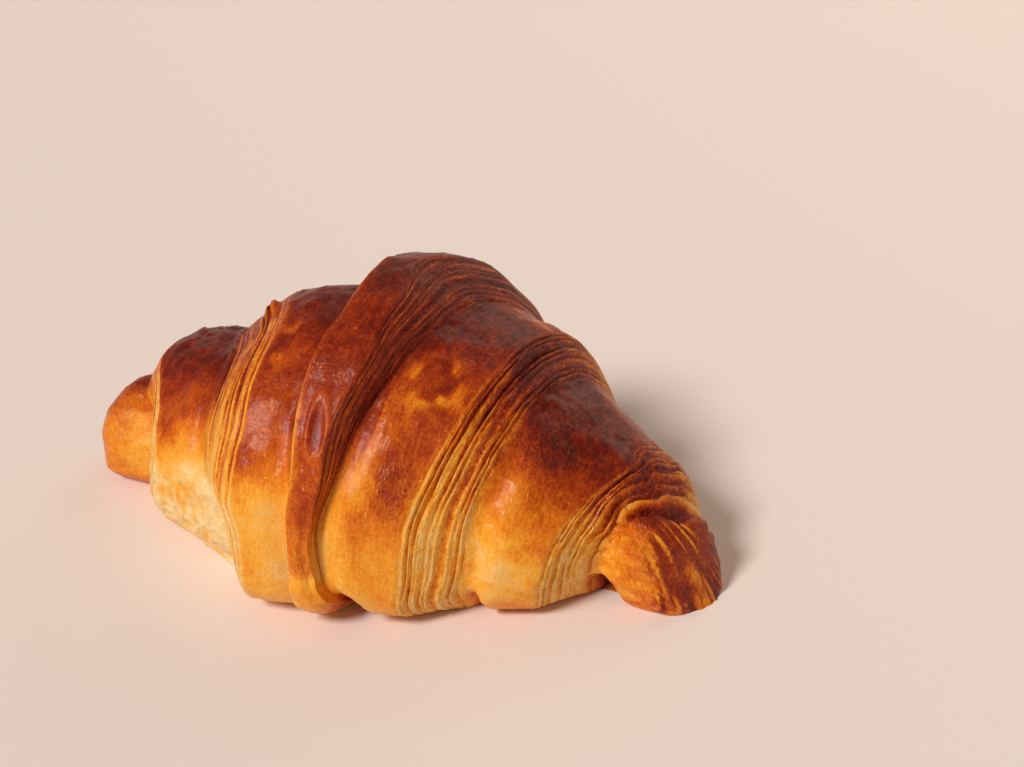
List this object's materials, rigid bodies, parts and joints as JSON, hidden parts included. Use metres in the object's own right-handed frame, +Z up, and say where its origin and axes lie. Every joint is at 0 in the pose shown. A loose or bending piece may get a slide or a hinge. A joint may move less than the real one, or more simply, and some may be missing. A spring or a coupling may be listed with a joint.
{
  "type": "croissant",
  "caption": "Whole baked butter croissant: a rolled, slightly bowed crescent of layered pastry with stepped folds, a tucked-under tongue and a flat underside.",
  "frame": {"origin": "middle of the bounding box in plan, on the surface that the croissant lies on", "axes": "+X along the roll to its blunt end, -Y to the bowed front where the tongue is tucked under, +Z up"},
  "size_m": [0.153, 0.0918, 0.066],
  "materials": {
    "crust": "glossy egg-washed baked crust, golden to dark brown"
  },
  "bodies": {
    "root": {"croissant": "crust"}
  },
  "joints": []
}
